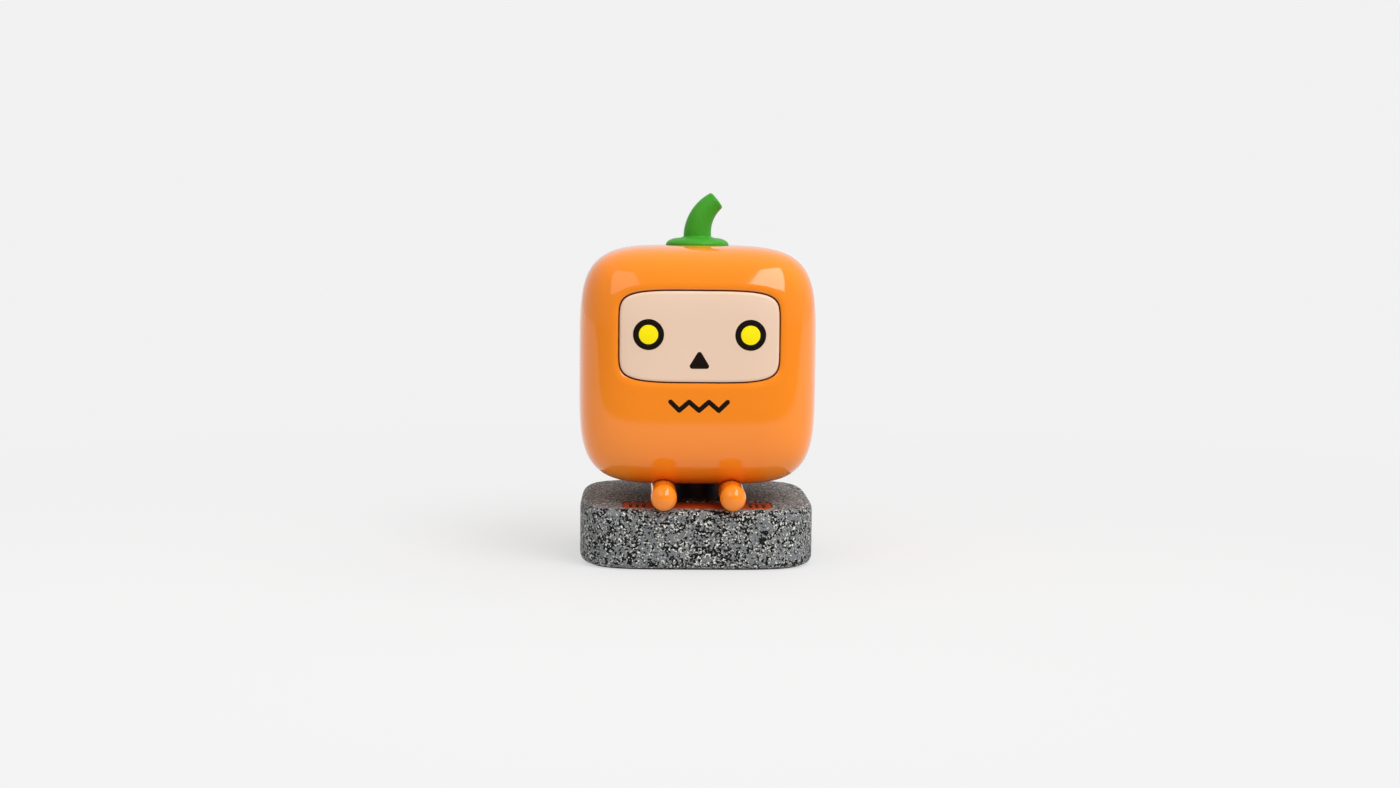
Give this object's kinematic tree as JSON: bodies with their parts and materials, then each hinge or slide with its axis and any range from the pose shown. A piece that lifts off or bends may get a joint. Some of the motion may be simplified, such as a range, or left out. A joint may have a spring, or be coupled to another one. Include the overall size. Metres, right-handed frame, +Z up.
{
  "type": "vinyl art toy",
  "caption": "Rounded-cube vinyl figure with a bent stem, inset face panel and short forward legs, seated on a rounded-square stone-effect display base.",
  "frame": {"origin": "centre of the base's underside, on the surface it stands on", "axes": "+Z up, the figure's face looks along -Y, +X is the figure's own left"},
  "size_m": [0.08, 0.0885, 0.1243],
  "materials": {
    "orange_vinyl": "high-gloss solid orange vinyl",
    "cream_plastic": "satin warm cream moulding",
    "black_gloss": "black inlay",
    "yellow_plastic": "solid yellow inlay",
    "green_plastic": "satin leaf-green moulding",
    "stone_resin": "cast resin with dark and pale granite-like specks",
    "black_rubber": "matt anti-slip rubber",
    "grey_plastic": "dark grey moulding",
    "magnet_steel": "nickel-plated disc magnet",
    "natural_nylon": "natural nylon pin"
  },
  "bodies": {
    "base": {"base_block": "stone_resin", "base_pad": "black_rubber", "nameplate": "orange_vinyl", "plate_marks": "black_gloss", "seat_post": "grey_plastic", "base_magnet": "magnet_steel"},
    "figure": {"body_shell": "orange_vinyl", "closing_plug": "orange_vinyl", "body_magnet": "magnet_steel", "face_panel": "cream_plastic", "eye_ring_left": "black_gloss", "eye_ring_right": "black_gloss", "eye_disc_left": "yellow_plastic", "eye_disc_right": "yellow_plastic", "nose": "black_gloss", "mouth": "black_gloss"},
    "stem": {"stem": "green_plastic"},
    "leg_left": {"leg_left": "orange_vinyl", "hip_pin_left": "natural_nylon"},
    "leg_right": {"leg_right": "orange_vinyl", "hip_pin_right": "natural_nylon"}
  },
  "joints": [
    {"name": "figure_lift", "type": "slide", "parent": "base", "child": "figure", "axis": [0, 0, 1], "range_m": [0, 0.03]},
    {"name": "stem_turn", "type": "hinge", "parent": "figure", "child": "stem", "pos_m": [0, 0, 0.106], "axis": [0, 0, 1], "continuous": true},
    {"name": "leg_left_turn", "type": "hinge", "parent": "figure", "child": "leg_left", "pos_m": [0.0113, -0.0137, 0.02445], "axis": [0, 1, 0], "continuous": true},
    {"name": "leg_right_turn", "type": "hinge", "parent": "figure", "child": "leg_right", "pos_m": [-0.0113, -0.0137, 0.02445], "axis": [0, 1, 0], "continuous": true}
  ]
}
